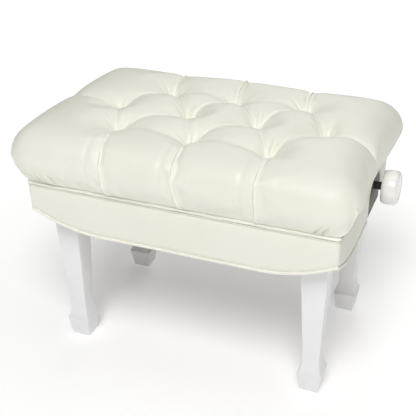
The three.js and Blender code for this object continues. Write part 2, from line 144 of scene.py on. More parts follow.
def tube(path, radius, sides, closed=False):
    """Points and faces of a round cord along a list of points, kept upright by the Z axis."""
    path = np.asarray(path, float)
    count = len(path)
    ahead = np.roll(path, -1, 0) - np.roll(path, 1, 0)
    if not closed:
        ahead[0] = path[1] - path[0]
        ahead[-1] = path[-1] - path[-2]
    ahead /= np.linalg.norm(ahead, axis=1)[:, None]
    across = np.cross(ahead, [0, 0, 1.0])
    across /= np.linalg.norm(across, axis=1)[:, None]
    up = np.cross(across, ahead)
    turn = np.arange(sides) * 2 * math.pi / sides
    rings = [
        p + radius * (np.outer(np.cos(turn), a) + np.outer(np.sin(turn), u))
        for p, a, u in zip(path, across, up)
    ]
    faces = ring_faces(count, sides, True) if closed else capped_faces(count, sides)
    return np.concatenate(rings), faces


def edited(obj, change):
    """Makes a change to the object's faces and edges."""
    mesh = bmesh.new()
    mesh.from_mesh(obj.data)
    change(mesh)
    mesh.to_mesh(obj.data)
    mesh.free()
    return obj


def faced_out(obj):
    """Turns every face of a closed mesh outwards."""
    return edited(obj, lambda mesh: bmesh.ops.recalc_face_normals(mesh, faces=mesh.faces))


def joined(name, parts):
    """One mesh object from several lists of points and faces."""
    points = []
    faces = []
    for part_points, part_faces in parts:
        faces += [tuple(int(i) + len(points) for i in face) for face in part_faces]
        points += list(part_points)
    return mesh_object(name, points, faces)


def ring_about_x(x, radius, turn):
    return np.column_stack([np.full(len(turn), x), radius * np.cos(turn), radius * np.sin(turn)])


def lathe(name, profile, centre, segments):
    """Turns a profile of (distance along X, radius) about the X axis through centre."""
    turn = np.arange(segments) * 2 * math.pi / segments
    rings = [ring_about_x(x, r, turn) for x, r in profile]
    points = np.concatenate(rings) + np.array(centre)
    return faced_out(mesh_object(name, points, capped_faces(len(rings), segments)))


# ---------- materials ----------
class Nodes:
    """A short way to wire one material."""

    def __init__(self, name):
        self.material = bpy.data.materials.new(name)
        self.material.use_nodes = True
        self.tree = self.material.node_tree
        self.shader = self.tree.nodes["Principled BSDF"]
        self.place = self.add("ShaderNodeTexCoord").outputs["Object"]

    def add(self, kind, links=(), **values):
        node = self.tree.nodes.new(kind)
        for key, value in values.items():
            socket = node.inputs.get(key.replace("_", " ")) if key[0].isupper() else None
            if socket is not None:
                socket.default_value = value
            else:
                setattr(node, key, value)
        for target, source in dict(links).items():
            self.tree.links.new(source, node.inputs[target])
        return node

    def noise(self, scale, detail, stretch=(1, 1, 1)):
        mapping = self.add("ShaderNodeMapping", {"Vector": self.place}, Scale=stretch)
        node = self.add("ShaderNodeTexNoise", {"Vector": mapping.outputs[0]}, Scale=scale, Detail=detail)
        return node.outputs["Fac"]

    def cells(self, scale):
        node = self.add("ShaderNodeTexVoronoi", {"Vector": self.place}, Scale=scale)
        return node.outputs["Distance"]

    def span(self, source, low, high, start=0.0, end=1.0):
        node = self.add("ShaderNodeMapRange", {"Value": source})
        for key, value in (("From Min", start), ("From Max", end), ("To Min", low), ("To Max", high)):
            node.inputs[key].default_value = value
        return node.outputs["Result"]

    def blend(self, factor, first, second):
        node = self.add("ShaderNodeMix", data_type="RGBA")
        for index, value in ((6, first), (7, second)):
            if hasattr(value, "is_output"):
                self.tree.links.new(value, node.inputs[index])
            else:
                node.inputs[index].default_value = (*value, 1)
        self.tree.links.new(factor, node.inputs[0])
        return node.outputs[2]

    def attribute(self, name):
        return self.add("ShaderNodeAttribute", attribute_name=name).outputs["Fac"]

    def bump(self, height, strength, distance, before=None):
        links = {"Height": height}
        if before is not None:
            links["Normal"] = before
        node = self.add("ShaderNodeBump", links, Strength=strength, Distance=distance)
        return node.outputs["Normal"]

    def finish(self, colour, roughness, normal=None, **constants):
        links = (("Base Color", colour), ("Roughness", roughness), ("Normal", normal))
        for target, source in links:
            if source is not None:
                self.tree.links.new(source, self.shader.inputs[target])
        for key, value in constants.items():
            self.shader.inputs[key.replace("_", " ")].default_value = value
        return self.material


def leather(name, light, shade, crevice_shade, edge):
    """Fine-grained upholstery leather, with painted shade (tan) where it goes down into a seam and a painted
    highlight (paler) on folded edges.
    """
    n = Nodes(name)
    tint = n.blend(n.span(n.noise(9, 4), 0, 1, 0.35, 0.65), shade, light)
    # painted highlight: the edge colour is blended in along folded lips
    tint = n.blend(n.attribute("lip_highlight"), tint, edge)
    # painted shade: tan blended in down in seams, creases, pleats, darts and puckers
    tint = n.blend(n.attribute("crevice_shade"), tint, crevice_shade)
    grain = n.bump(n.cells(900), 0.10, 0.0004)
    pores = n.bump(n.noise(1600, 2), 0.12, 0.0003, grain)
    softness = n.bump(n.noise(70, 3), 0.10, 0.002, pores)
    rough = n.span(n.noise(45, 4), 0.43, 0.53, 0.3, 0.7)
    return n.finish(tint, rough, softness, Specular_IOR_Level=0.42, Coat_Weight=0.06, Coat_Roughness=0.3)


def lacquer(name, light, shade):
    """Sprayed satin paint over wood, with faint orange peel."""
    n = Nodes(name)
    tint = n.blend(n.span(n.noise(14, 3, (1, 1, 0.35)), 0, 1, 0.35, 0.65), shade, light)
    peel = n.bump(n.noise(420, 2), 0.08, 0.0006)
    wood = n.bump(n.noise(60, 4, (1, 1, 0.06)), 0.07, 0.001, peel)
    rough = n.span(n.noise(30, 3), 0.30, 0.40, 0.3, 0.7)
    return n.finish(tint, rough, wood, Specular_IOR_Level=0.5, Coat_Weight=0.25, Coat_Roughness=0.18)


def metal(name, light, shade, rough_low, rough_high, metallic):
    n = Nodes(name)
    tint = n.blend(n.span(n.noise(60, 5), 0, 1, 0.3, 0.7), shade, light)
    marks = n.bump(n.noise(500, 4), 0.12, 0.0004)
    rough = n.span(n.noise(120, 4), rough_low, rough_high, 0.3, 0.7)
    return n.finish(tint, rough, marks, Metallic=metallic)


def timber(name, light, dark, scale):
    """Straight grain along X, with darker growth lines and fine pores."""
    n = Nodes(name)
    grain = n.noise(scale, 6, (0.12, 1.6, 3.0))
    tint = n.blend(n.span(grain, 0, 1, 0.35, 0.65), dark, light)
    pores = n.noise(scale * 9, 3, (0.08, 1, 1))
    tint = n.blend(n.span(pores, 0, 0.5, 0.6, 0.75), tint, dark)
    relief = n.bump(grain, 0.25, 0.0008)
    fine = n.bump(pores, 0.25, 0.0004, relief)
    return n.finish(tint, n.span(grain, 0.5, 0.65), fine)


def plastic(name, light, shade, rough_low, rough_high, coat=0.0):
    n = Nodes(name)
    tint = n.blend(n.span(n.noise(25, 3), 0, 1, 0.35, 0.65), shade, light)
    skin = n.bump(n.noise(700, 2), 0.05, 0.0004)
    rough = n.span(n.noise(60, 3), rough_low, rough_high, 0.3, 0.7)
    return n.finish(tint, rough, skin, Coat_Weight=coat, Coat_Roughness=0.08)


FLOOR_GLOW = 0.24                 # at the bench and far away from it
FAR_GLOW = 0.70


def plain_floor():
    """Pale paint that glows a little, more so away from the bench, as a studio sweep does."""
    n = Nodes("floor_paint")
    tint = n.blend(n.noise(2, 2), (0.93, 0.93, 0.925), (0.95, 0.95, 0.945))
    away = n.add("ShaderNodeVectorMath", {"Vector": n.place}, operation="LENGTH").outputs["Value"]
    glow = n.span(away, FLOOR_GLOW, FAR_GLOW, 0.5, 1.8)
    n.tree.links.new(glow, n.shader.inputs["Emission Strength"])
    return n.finish(tint, n.span(n.noise(8, 3), 0.75, 0.85), Emission_Color=(1, 1, 1, 1))


# the third colour of each leather is painted shade down in seams, the fourth a painted highlight on folded
# lips
IVORY = leather(
    "ivory_leather",
    light=(0.86, 0.856, 0.76),
    shade=(0.835, 0.83, 0.73),
    crevice_shade=(0.60, 0.52, 0.37),
    edge=(0.96, 0.945, 0.86),
)
PIPING = leather(
    "ivory_piping",
    light=(0.92, 0.90, 0.81),
    shade=(0.89, 0.87, 0.775),
    crevice_shade=(0.62, 0.54, 0.40),
    edge=(0.93, 0.92, 0.86),
)
WHITE = lacquer("white_lacquer", (0.90, 0.90, 0.90), (0.875, 0.875, 0.88))
BROWN = timber("brown_wood", (0.17, 0.15, 0.12), (0.09, 0.075, 0.06), 40)
BIRCH = timber("plywood", (0.62, 0.50, 0.35), (0.45, 0.33, 0.21), 30)
KNOB = plastic("white_knob", (0.86, 0.85, 0.82), (0.84, 0.83, 0.80), 0.12, 0.18, 0.5)
BLACK = metal("black_steel", (0.018, 0.018, 0.020), (0.010, 0.010, 0.011), 0.34, 0.48, 0.2)
ZINC = metal("zinc_steel", (0.62, 0.62, 0.60), (0.50, 0.50, 0.49), 0.28, 0.42, 1.0)
GREY = plastic("grey_plastic", (0.16, 0.16, 0.17), (0.12, 0.12, 0.13), 0.4, 0.5)


# ---------- tufted cushion ----------
# tufts in plan, from left to right, in three rows
TUFTS = {
    "back": [(-123, 82), (6, 82), (142, 91)],
    "middle": [(-189, -4), (-52, -6), (77, -3), (203, -2)],
    "front": [(-145, -98), (-7, -103), (134, -104)],
}
TUFT_DEPTH = 30 * MM
CELL = 6.2 * MM                   # spacing of the simulated mesh
SHOULDER = 85 * MM                # width of the slope from the top down to the rim
SHOULDER_DROP = 0.10              # share of the height lost at the rim
MOST_MOVED = 9 * MM               # the furthest that the pressure may move the leather
CLOTH_STEPS = 20
WRINKLED = 35 * MM                # how near a tuft the mesh is made finer
FINE = 8 * MM                     # how near a seam, and how near it is made finer once more
FINEST = 2.6 * MM


def tuft(row, index):
    return np.array(TUFTS[row][index], float) * MM


# each outer tuft row is sewn to the middle row in a zigzag. The seams that rise to the right are
# folded edges that bow towards the back, the others are plain creases
SEAMS = [(tuft("middle", i), tuft("back", i)) for i in range(3)]
SEAMS += [(tuft("front", i), tuft("middle", i + 1)) for i in range(3)]
SEAMS += [(tuft("back", i), tuft("middle", i + 1)) for i in range(3)]
SEAMS += [(tuft("middle", i), tuft("front", i)) for i in range(3)]
FOLDED = 6                        # how many of them are folded edges
SEAM_BOW = 15 * MM
PLEAT_END = 51                    # degrees below level where a pleat ends on the rounded side

# how the surface dips between two tufts: depth half way, then how far the dip reaches to the left
# and to the right as seen on the way from the first tuft to the second, and its bow to the left
FOLDED_DIP = (9, 20, 24, 12)
CREASE_DIP = (6, 15, 11, 0)
SOFT_DIP = (4, 17, 17, 0)
ROW_DIPS = {"front": (8, 24, 17, -5), "back": (8, 24, 16, 0)}
# the same from a tuft out to the rim, with the depth at the rim
PLEAT_DIP = (1.5, 9, 13, 0)
LEFT_DIP = (7, 9, 24, 0)
RIGHT_DIP = (7, 24, 9, 0)
# how strongly each plain crease is drawn, in depth and in painted shade, how strong the painted highlight on
# each folded seam's edge is, and how much painted shade each pleat gets
CREASE_SHOWS = [0.5, 0.5, 0.5, 0.4, 0.15, 0.15]
SEAM_LIP_HIGHLIGHTS = [1.0] * 3 + [0.6] * 3
PLEAT_PAINTED_SHADE = [0.5] * 3 + [0.35] * 3
# depths in mm of the soft folds: beside the front and the back pleats, at the ends, at the corners
FOLD_DEPTHS = [1.5] * 3 + [0.9] * 3 + [2.6] * 2 + [0.8] * 4
# how many gathers there are at each corner, as signs of X and Y, and how strong they are
GATHERS = ((-1, -1, 4, 1.8), (1, -1, 2, 0.8), (-1, 1, 3, 0.45), (1, 1, 4, 0.45))

# across a fold: the drop, its reach on the high and on the low side, and the lip's height, place and
# width. Across a crease: the groove's depth and width, and its raised side's height, place and width
SEAM_STEP = (3.8, 1.3, 9, 3.2, 2.4, 1.6)
PLEAT_STEP = (2.2, 1.0, 18, 2.3, 1.9, 1.3)
DART_STEP = (3.6, 1.2, 9, 2.4, 1.9, 1.5)
SEAM_CREASE = (1.8, 1.0, 0.4, 2.0, 1.6)
PUCKER_CREASE = (3.0, 2.2, 1.2, 4.6, 2.4)
# how far each pleat runs sideways just after its tuft and then on the way down, and how far its soft
# neighbour does
PLEATS = {"front": [(13, 12, 8), (6.5, 12.5, 11), (8.5, 3, 14)], "back": [(7, 2, -16)] * 3}
# bunches of wrinkles round each tuft: direction in degrees, how many, and how strong
WRINKLES = ((62, 4, 1), (90, 2, 1), (138, 4, 1), (-85, 2, 0.4))


def cushion_shell():
    """An open shell on an even grid: the top, then rings down the side to the tucked-in lower edge."""
    nx = round(2 * CUSHION_X / CELL)
    ny = round(2 * CUSHION_Y / CELL)
    upper = round(ROUND / CELL)
    lower = round((WIDE_Z - CUSHION_BOTTOM) / CELL)
    xs = np.linspace(-CUSHION_X, CUSHION_X, nx + 1)
    ys = np.linspace(-CUSHION_Y, CUSHION_Y, ny + 1)
    grid = [(x, y, ROUND) for y in ys for x in xs]
    index = np.arange((nx + 1) * (ny + 1)).reshape(ny + 1, nx + 1)
    edge = [*index[0, :-1], *index[:-1, -1], *index[-1, :0:-1], *index[:0:-1, 0]]
    faces = [
        (index[j, i], index[j, i + 1], index[j + 1, i + 1], index[j + 1, i])
        for j in range(ny)
        for i in range(nx)
    ]
    heights = [ROUND * (1 - k / upper) for k in range(1, upper + 1)]
    heights += [-k / lower for k in range(1, lower + 1)]
    ring = edge
    for height in heights:
        start = len(grid)
        grid += [(grid[i][0], grid[i][1], height) for i in edge]
        below = list(range(start, start + len(edge)))
        count = len(edge)
        faces += [(ring[j], below[j], below[(j + 1) % count], ring[(j + 1) % count]) for j in range(count)]
        ring = below
    return rounded_box(np.array(grid)), faces, ring


def rounded_box(p):
    """Wraps the grid box onto the pillow. Below the widest outline p's height runs from 0 to -1."""
    half = np.array([CUSHION_X, CUSHION_Y])
    core = np.clip(p[:, :2], ROUND - half, half - ROUND)
    out = p[:, :2] - core
    reach = np.linalg.norm(out, axis=1)
    flat = np.where(reach[:, None] > 1e-9, out / np.maximum(reach, 1e-9)[:, None], 0)
    up = np.maximum(p[:, 2], 0)
    length = np.hypot(reach, up)
    upper_xy = core + flat * (ROUND * reach / np.maximum(length, 1e-9))[:, None]
    upper_z = WIDE_Z + ROUND * up / np.maximum(length, 1e-9)
    down = np.clip(-p[:, 2], 0, 1)
    right = np.maximum(0, flat[:, 0]) ** 6        # the right end slopes straight in
    tuck = (1 - right) * (0.6 * down ** 1.6 + 0.4 * down ** 4) + right * down ** 1.1
    lower_xy = (core + flat * ROUND) * (1 - tuck)[:, None] + tucked_edge(p[:, :2] / half) * tuck[:, None]
    lower_z = WIDE_Z - (WIDE_Z - CUSHION_BOTTOM) * down
    side = p[:, 2] < 0
    edge = np.clip(1 - (half - np.abs(upper_xy)) / SHOULDER, 0, 1) ** 1.2
    slope = np.prod(1 - SHOULDER_DROP * edge, axis=1)
    upper_z = WIDE_Z + (upper_z - WIDE_Z) * slope
    xy = np.where(side[:, None], lower_xy, upper_xy)
    z = np.where(side, lower_z, upper_z)
    free = smoothstep((z - CUSHION_BOTTOM) / (WIDE_Z - CUSHION_BOTTOM))
    waist = np.exp(-(((xy[:, 1] - WAIST_Y) / WAIST_HALF) ** 2)) * np.maximum(0, xy[:, 0] / half[0]) ** 2
    xy[:, 0] += (CUSHION_SHIFT - WAIST * waist) * free
    return np.column_stack([xy, z])


def tucked_edge(share):
    """The lower edge of the cover, just outside the skirt, from shares of the half sizes."""
    half = np.array([SKIRT_X, SKIRT_Y]) + 0.6 * MM
    radius = 8 * MM
    rectangle = share * half
    core = np.clip(rectangle, radius - half, half - radius)
    out = rectangle - core
    length = np.linalg.norm(out, axis=1)[:, None]
    return core + out / np.maximum(length, 1e-9) * radius


def along(points, start, end):
    """Share of the way from start to end, and distance from that line, of points in plan."""
    line = end - start
    share = np.clip(((points - start) @ line) / (line @ line), 0, 1)
    return share, np.linalg.norm(points - start - share[:, None] * line, axis=1)


def dips():
    """Start and end of every dip in the top, its shape, and whether it runs out to the rim."""
    styles = [FOLDED_DIP] * FOLDED + [CREASE_DIP] * 4 + [SOFT_DIP] * 2
    found = [(start, end, style, False) for (start, end), style in zip(SEAMS, styles)]
    for row, style in ROW_DIPS.items():
        places = [tuft(row, i) for i in range(len(TUFTS[row]))]
        found += [(a, b, style, False) for a, b in zip(places, places[1:])]
    for row, way in (("front", (20, -110)), ("back", (-16, 115))):
        for i in range(3):
            start = tuft(row, i)
            found.append((start, start + np.array(way) * MM, PLEAT_DIP, True))
    left, right = tuft("middle", 0), tuft("middle", 3)
    found.append((left, left + np.array([-120, 6]) * MM, LEFT_DIP, True))
    found.append((right, right + np.array([110, -18]) * MM, RIGHT_DIP, True))
    return found


def tuft_depth(plan):
    """How far the tufts and the lines between them pull the top down at points in plan."""
    power = 8
    total = np.zeros(len(plan))
    for start, end, style, to_rim in dips():
        depth, left, right, bow = (v * MM for v in style)
        line = end - start
        length = np.linalg.norm(line)
        offset = plan - start
        run = offset @ line / length
        share = np.clip(run / length, 0, 1)
        sideways = offset @ np.array([-line[1], line[0]]) / length - bow * np.sin(math.pi * share)
        away = np.hypot(sideways, run - share * length)
        reach = right + (left - right) * (0.5 + 0.5 * sideways / np.maximum(away, 1e-9))
        rise = (1 - share) ** 3.2 if to_rim else np.abs(2 * share - 1) ** 2.0
        pull = depth + (TUFT_DEPTH - depth) * rise
        total += (pull * np.exp(-((away / reach) ** 1.25))) ** power
    return total ** (1 / power)


def simulate(obj, pins):
    """Inflates the cover with pressure, pinned at the tufts, the seams and the lower edge."""
    group = obj.vertex_groups.new(name="pins")
    for i, weight in enumerate(pins):
        if weight > 0.01:
            group.add([i], float(weight), "REPLACE")
    cloth = obj.modifiers.new("cloth", "CLOTH")
    settings = cloth.settings
    settings.quality = 6
    settings.mass = 0.4
    settings.tension_stiffness = 25
    settings.compression_stiffness = 20
    settings.shear_stiffness = 12
    settings.bending_stiffness = 1.2
    settings.air_damping = 4
    settings.use_pressure = True
    settings.uniform_pressure_force = 5
    settings.vertex_group_mass = "pins"
    settings.pin_stiffness = 1.0
    settings.shrink_min = -0.02               # the leather is cut a little larger than the foam
    settings.effector_weights.gravity = 0
    cloth.collision_settings.use_collision = False
    cloth.point_cache.frame_start = 1
    cloth.point_cache.frame_end = CLOTH_STEPS
    for step in range(1, CLOTH_STEPS + 1):
        bpy.context.scene.frame_set(step)
    applied(obj)
    bpy.context.scene.frame_set(1)
    obj.vertex_groups.clear()


def refine(obj, near):
    """Splits the four-sided faces whose middle is near the seams, given a test on points."""
    def split(mesh):
        chosen = near(np.array([f.calc_center_median() for f in mesh.faces]))
        edges = {e for f, pick in zip(mesh.faces, chosen) if pick and len(f.verts) == 4 for e in f.edges}
        bmesh.ops.subdivide_edges(mesh, edges=list(edges), cuts=1, use_grid_fill=True)

    edited(obj, split)


def distance_to(paths, points, limit=0.06):
    """Distance, signed side and share along of the nearest of several 3-D paths."""
    best = np.full(len(points), 1.0)
    side = np.zeros(len(points))
    share = np.zeros(len(points))
    owner = np.full(len(points), -1)
    for k, (path, across) in enumerate(paths):
        low, high = path.min(0) - limit, path.max(0) + limit
        close = np.flatnonzero(np.all((points > low) & (points < high), axis=1))
        if len(close) == 0:
            continue
        p = points[close]
        count = len(path) - 1
        for i in range(count):
            a, b = path[i], path[i + 1]
            line = b - a
            t = np.clip(((p - a) @ line) / (line @ line), 0, 1)
            offset = p - a - t[:, None] * line
            d = np.linalg.norm(offset, axis=1)
            better = d < best[close]
            chosen = close[better]
            best[chosen] = d[better]
            side[chosen] = np.sign(offset[better] @ (across[i] + across[i + 1]))
            share[chosen] = (i + t[better]) / count
            owner[chosen] = k
    return best, side, share, owner


class Surface:
    """Finds points on the cushion by casting rays at it."""

    def __init__(self, obj):
        mesh = obj.data
        self.tree = BVHTree.FromPolygons([v.co for v in mesh.vertices], [p.vertices for p in mesh.polygons])

    def hit(self, origin, direction):
        place, normal, _, _ = self.tree.ray_cast(Vector(origin), Vector(direction))
        return np.array(place), np.array(normal)

    def path(self, rays):
        """The points that the rays hit, and at each one the direction across the path."""
        found = [self.hit(origin, direction) for origin, direction in rays]
        line = np.array([p for p, _ in found])
        normals = np.array([n for _, n in found])
        for _ in range(3):
            line[1:-1] = (line[:-2] + 2 * line[1:-1] + line[2:]) / 4
        across = np.cross(np.gradient(line, axis=0), normals)
        return line, across / np.linalg.norm(across, axis=1)[:, None]


def ray_down(x, y):
    return (x, y, CUSHION_TOP + 0.1), (0, 0, -1)


def seam_rays(start, end, bow):
    """Rays down along a seam that bows a little sideways."""
    middle = np.array([start[1] - end[1], end[0] - start[0]]) / np.linalg.norm(end - start)
    return [
        ray_down(*(start + (end - start) * t + middle * bow * math.sin(math.pi * t)))
        for t in np.linspace(0.02, 0.98, 26)
    ]


def rim_rays(start, outward, drift):
    """Rays along a pleat that leaves a tuft, goes over the rim and down the side. drift moves it sideways."""
    outward = np.array(outward, float)
    sideways = np.array([outward[1], -outward[0]])
    half = CUSHION_X if abs(outward[0]) > 0.5 else CUSHION_Y
    edge = half - ROUND - abs(start @ outward)
    flat = max(edge, 0.004)
    arc = math.radians(90 + PLEAT_END) * ROUND
    rays = []
    for s in np.linspace(0.02, 1, 44):
        place = start + sideways * drift(s)
        run = s * (flat + arc)
        if run < flat:
            rays.append(ray_down(*(place + outward * run)))
            continue
        angle = math.pi / 2 - (run - flat) / ROUND
        centre = np.array([*(place + outward * flat), WIDE_Z])
        ray = np.array([*(outward * math.cos(angle)), math.sin(angle)])
        rays.append((centre + ray * 0.2, -ray))
    return rays


def corner_rays(sign_x, sign_y, azimuths, heights):
    """Rays at a rounded corner of the cushion from outside, turning from the first azimuth to the last."""
    core = np.array([sign_x * (CUSHION_X - ROUND) + CUSHION_SHIFT, sign_y * (CUSHION_Y - ROUND)])
    rays = []
    for t in np.linspace(0, 1, 20):
        turn = math.radians(azimuths[0] + (azimuths[1] - azimuths[0]) * t ** 3.5)
        out = np.array([sign_x * math.cos(turn), sign_y * math.sin(turn), 0])
        height = heights[0] + (heights[1] - heights[0]) * t
        rays.append((np.array([*core, height]) + out * 0.2, -out))
    return rays


def band(distance, at, width):
    """1 where the distance is at that many millimetres, and less and less away from there."""
    return np.exp(-(((distance - at * MM) / (width * MM)) ** 2))


def folded_step(signed, drop, high_reach, low_reach, lip, lip_at, lip_width):
    """Height across a folded edge: a lip on the positive side and a drop to a lower, wider slope."""
    reach = np.where(signed > 0, high_reach * MM, low_reach * MM)
    step = -drop * MM * np.exp(-np.abs(signed) / reach)
    return step + lip * MM * band(signed, lip_at, lip_width)


def crease(distance, side, depth, width, lip, lip_at, lip_width):
    """Height across a seam: a narrow groove with a raised fold on one side."""
    return lip * MM * band(distance * side, lip_at, lip_width) - depth * MM * band(distance, 0, width)


def of_nearest(values, owner):
    """Each point's value from the path that it is nearest to, and 0 where no path is near."""
    return np.array([*values, 0.0])[owner]


def build_cushion():
    points, faces, lower_edge = cushion_shell()
    top = smoothstep((points[:, 2] - WIDE_Z) / (ROUND * 0.8))
    plan = points[:, :2]
    pull = tuft_depth(plan)
    points[:, 2] -= pull * top
    obj = mesh_object("cushion_leather", points, faces)

    tufts = np.array([tuft(row, i) for row in TUFTS for i in range(len(TUFTS[row]))])
    to_tuft = np.min(np.linalg.norm(plan[:, None] - tufts[None], axis=2), axis=1)
    to_seam = np.min([along(plan, a, b)[1] for a, b in SEAMS], axis=0)
    upper = points[:, 2] > WIDE_Z + 10 * MM
    pins = np.where(upper, np.exp(-((to_tuft / (9 * MM)) ** 2)), 0)
    pins = np.maximum(pins, np.where(upper, 0.35 * np.exp(-((to_seam / (5 * MM)) ** 2)), 0))
    pins[lower_edge] = 1
    start = points.copy()
    simulate(obj, pins)
    moved = vectors(obj.data.vertices, "co") - start
    size = np.linalg.norm(moved, axis=1)
    moved *= (MOST_MOVED * np.tanh(size / MOST_MOVED) / np.maximum(size, 1e-9))[:, None]
    set_points(obj.data, start + moved)
    smoother = obj.modifiers.new("round", "SUBSURF")
    smoother.levels = smoother.render_levels = 1
    applied(obj)
    detail_cushion(obj, tufts)
    close_bottom(obj)
    obj.data.shade_smooth()
    return obj


def detail_cushion(obj, tufts):
    """Seams, pleats, dart folds at the corners, and the wrinkles that fan out of each tuft."""
    surface = Surface(obj)
    bows = [SEAM_BOW] * FOLDED + [1 * MM] * (len(SEAMS) - FOLDED)
    seams = [surface.path(seam_rays(a, b, bow)) for (a, b), bow in zip(SEAMS, bows)]
    pleats = []
    folds = []                        # soft ones: beside each pleat, then out to the two ends
    for row, sign in (("front", -1), ("back", 1)):
        for i, (drift, curl, fold_drift) in enumerate(PLEATS[row]):
            start = tuft(row, i)
            lean = lambda s: -(drift * smoothstep(s / 0.25) + curl * s ** 2.5) * MM
            beside = lambda s: fold_drift * MM * smoothstep(s / 0.3)
            pleats.append(surface.path(rim_rays(start, (0, sign), lean)))
            folds.append(surface.path(rim_rays(start, (0, sign), beside)))
    for sign, index, drift in ((-1, 0, -8), (1, 3, -30)):
        bend = lambda s: drift * MM * smoothstep(s) * -sign
        folds.append(surface.path(rim_rays(tuft("middle", index), (sign, 0), bend)))
    darts = []
    for sign_x in (-1, 1):
        for sign_y in (-1, 1):
            heights = (WIDE_Z + 10 * MM, CUSHION_BOTTOM + 1.5 * MM)
            line, across = surface.path(corner_rays(sign_x, sign_y, (31, 53), heights))
            darts.append((line, -sign_x * sign_y * across))
            faint = (WIDE_Z + 26 * MM, CUSHION_BOTTOM + 14 * MM)
            folds.append(surface.path(corner_rays(sign_x, sign_y, (41, 44), faint)))

    puckers = gathers(surface)
    lines = seams + pleats + darts + puckers
    refine(obj, lambda p: (distance_to(lines, p, 0.02)[0] < FINE) | near_tufts(p, tufts, WRINKLED))
    refine(obj, lambda p: distance_to(lines, p, 0.01)[0] < FINEST)

    mesh = obj.data
    points = vectors(mesh.vertices, "co")
    normals = vectors(mesh.vertex_normals, "vector")
    height = np.zeros(len(points))
    # painted shade: how much tan is painted down in each seam, crease, pleat, dart and pucker
    crevice_shade = np.zeros(len(points))

    away, side, share, owner = distance_to(seams[:FOLDED], points)
    ends = smoothstep(np.minimum(share / 0.05, (1 - share) / 0.3))
    signed = away * side
    height += ends * folded_step(signed, *SEAM_STEP)
    crevice_shade = np.maximum(crevice_shade, ends * 0.75 * band(signed, -0.3, 1.0))
    # painted highlight along each folded lip of the seams, pleats and darts
    light = of_nearest(SEAM_LIP_HIGHLIGHTS, owner) * ends * band(signed, 2.5, 1.9)

    away, side, share, owner = distance_to(seams[FOLDED:], points)
    ends = smoothstep(np.minimum(share, 1 - share) / 0.05) * of_nearest(CREASE_SHOWS, owner)
    height += ends * crease(away, side, *SEAM_CREASE)
    crevice_shade = np.maximum(crevice_shade, ends * band(away, 0, 0.7))

    away, side, share, owner = distance_to(pleats, points)
    ends = smoothstep(share / 0.06)
    signed = -away * side
    rise = smoothstep(share / 0.35)
    height += rise * folded_step(signed, *PLEAT_STEP)
    crevice_shade = np.maximum(crevice_shade, ends * of_nearest(PLEAT_PAINTED_SHADE, owner) * band(signed, -0.3, 0.7))
    light = np.maximum(light, ends * band(signed, 2.0, 1.7))

    away, _, share, owner = distance_to(folds, points)
    ends = smoothstep(share / 0.15) * smoothstep((1 - share) / 0.1)
    height -= ends * (of_nearest(FOLD_DEPTHS, owner) * MM) * band(away, 0, 4)

    away, side, share, _ = distance_to(darts, points)
    ends = smoothstep(share / 0.2)
    signed = away * side
    height += ends * folded_step(signed, *DART_STEP)
    crevice_shade = np.maximum(crevice_shade, ends * 0.8 * band(signed, -0.6, 0.8))
    light = np.maximum(light, ends * band(signed, 1.8, 1.3))

    height += tuft_wrinkles(points, tufts)
    away, side, share, owner = distance_to(puckers, points)
    ends = smoothstep((1 - share) / 0.7)
    strong = of_nearest([strength for _, _, count, strength in GATHERS for _ in range(count)], owner)
    height += ends * strong * crease(away, side, *PUCKER_CREASE)
    crevice_shade = np.maximum(crevice_shade, ends * strong * 0.45 * band(away, 0, 1.9))
    lower = smoothstep((points[:, 2] - CUSHION_BOTTOM) / (4 * MM))
    set_points(mesh, points + normals * (height * lower)[:, None])
    # the painted shade and the painted highlight, stored on the points for the leather
    for name, values in (("crevice_shade", crevice_shade), ("lip_highlight", light)):
        layer = mesh.attributes.new(name, "FLOAT", "POINT")
        layer.data.foreach_set("value", np.clip(values, 0, 1).astype(np.float32))


def near_tufts(points, tufts, reach):
    flat = np.min(np.linalg.norm(points[:, None, :2] - tufts[None], axis=2), axis=1)
    return (flat < reach) & (points[:, 2] > WIDE_Z)


def tuft_wrinkles(points, tufts):
    """Fine folds that fan out of each tuft to both sides of the way to the back."""
    height = np.zeros(len(points))
    for centre in tufts:
        offset = points[:, :2] - centre
        distance = np.linalg.norm(offset, axis=1)
        close = (distance < 75 * MM) & (points[:, 2] > WIDE_Z)
        angle = np.arctan2(offset[close, 1], offset[close, 0])
        r = distance[close]
        folds = np.zeros(len(r))
        for bunch, count, size in WRINKLES:
            for i in range(count):
                aim = math.radians(bunch + (i - (count - 1) / 2) * 11 + rng.uniform(-3, 3))
                turn = np.angle(np.exp(1j * (angle - aim - rng.uniform(-3, 3) * r)))
                width = (2.0 + rng.uniform(0, 0.8)) * MM
                reach = rng.uniform(24, 46) * MM
                folds += size * rng.uniform(0.5, 1.0) * np.exp(-((turn * r / width) ** 2) - (r / reach) ** 2)
        rise = smoothstep((r - 4 * MM) / (10 * MM))
        height[close] -= 2.2 * MM * folds * rise
    return height


def gathers(surface):
    """Short slanting puckers just above the lower edge, next to the corners."""
    found = []
    for sign_x, sign_y, count, _ in GATHERS:
        for i in range(count):
            x = sign_x * (CUSHION_X - (61 + 12.5 * i + rng.uniform(-1.5, 1.5)) * MM)
            slant = sign_x * rng.uniform(0.55, 0.7)
            tall = rng.uniform(26, 34) * MM
            rays = []
            for t in np.linspace(0, 1, 9):
                height = CUSHION_BOTTOM + 1.5 * MM + tall * t
                origin = (x + slant * tall * t, sign_y * (CUSHION_Y + 0.1), height)
                rays.append((origin, (0, -sign_y, 0)))
            found.append(surface.path(rays))
    return found


def close_bottom(obj):
    """Fills the open lower edge with one face, so that the cushion is a closed form."""
    def fill(mesh):
        bmesh.ops.contextual_create(mesh, geom=[e for e in mesh.edges if e.is_boundary])

    faced_out(edited(obj, fill))


